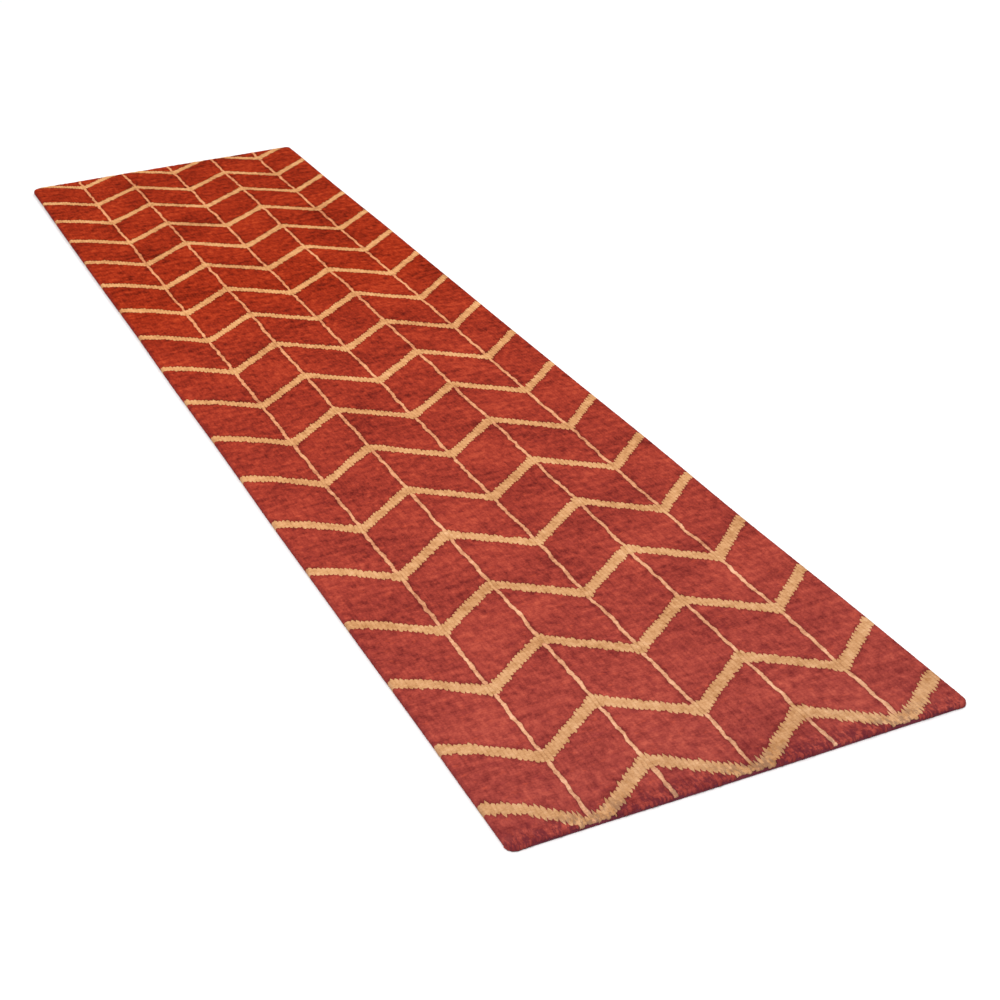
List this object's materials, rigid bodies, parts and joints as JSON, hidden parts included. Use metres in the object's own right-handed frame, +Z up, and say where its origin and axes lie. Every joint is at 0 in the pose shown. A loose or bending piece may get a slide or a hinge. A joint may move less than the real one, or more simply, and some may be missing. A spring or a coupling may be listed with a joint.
{
  "type": "runner rug",
  "caption": "Long narrow cut-pile wool rug, red with cream zigzag bands and thin lengthwise lines, on a cloth-backed latex and canvas base with an overcast edge.",
  "frame": {"origin": "the middle of the rug's underside, on the floor", "axes": "+Y along the rug, away from the end that the nap leans towards; +X across it; +Z up, out of the pile"},
  "size_m": [0.7, 3, 0.01],
  "materials": {
    "red_pile": "matte cut-pile wool, brick red with lighter and darker weftwise streaks, nap leaning towards the near end",
    "cream_pile": "matte cut-pile wool, warm cream",
    "cream_line_pile": "matte cut-pile wool, cream tinged pink by the red beside it",
    "edge_wool": "matte overcast wool yarn, wine red",
    "canvas": "matte plain-woven cotton",
    "latex": "dull filled latex, off-white",
    "backing_cloth": "matte plain-woven unbleached cotton"
  },
  "bodies": {
    "root": {"backing_cloth": "backing_cloth", "canvas": "canvas", "cream_band_01": "cream_pile", "cream_band_02": "cream_pile", "cream_band_03": "cream_pile", "cream_band_04": "cream_pile", "cream_band_05": "cream_pile", "cream_band_06": "cream_pile", "cream_band_07": "cream_pile", "cream_band_08": "cream_pile", "cream_band_09": "cream_pile", "cream_band_10": "cream_pile", "cream_band_11": "cream_pile", "cream_band_12": "cream_pile", "cream_band_13": "cream_pile", "cream_band_14": "cream_pile", "cream_band_15": "cream_pile", "cream_band_16": "cream_pile", "cream_band_17": "cream_pile", "cream_far_1": "cream_pile", "cream_far_2": "cream_pile", "cream_far_3": "cream_pile", "cream_line_1": "cream_line_pile", "cream_line_2": "cream_line_pile", "cream_line_3": "cream_line_pile", "cream_line_4": "cream_line_pile", "cream_line_5": "cream_line_pile", "end_edge_far": "edge_wool", "end_edge_near": "edge_wool", "latex_coat": "latex", "red_course_01": "red_pile", "red_course_02": "red_pile", "red_course_03": "red_pile", "red_course_04": "red_pile", "red_course_05": "red_pile", "red_course_06": "red_pile", "red_course_07": "red_pile", "red_course_08": "red_pile", "red_course_09": "red_pile", "red_course_10": "red_pile", "red_course_11": "red_pile", "red_course_12": "red_pile", "red_course_13": "red_pile", "red_course_14": "red_pile", "red_course_15": "red_pile", "red_course_16": "red_pile", "red_course_17": "red_pile", "red_far_1": "red_pile", "red_far_2": "red_pile", "red_far_3": "red_pile", "red_near_1": "red_pile", "red_near_2": "red_pile", "red_near_3": "red_pile", "red_near_4": "red_pile", "side_edge_left": "edge_wool", "side_edge_right": "edge_wool"}
  },
  "joints": []
}
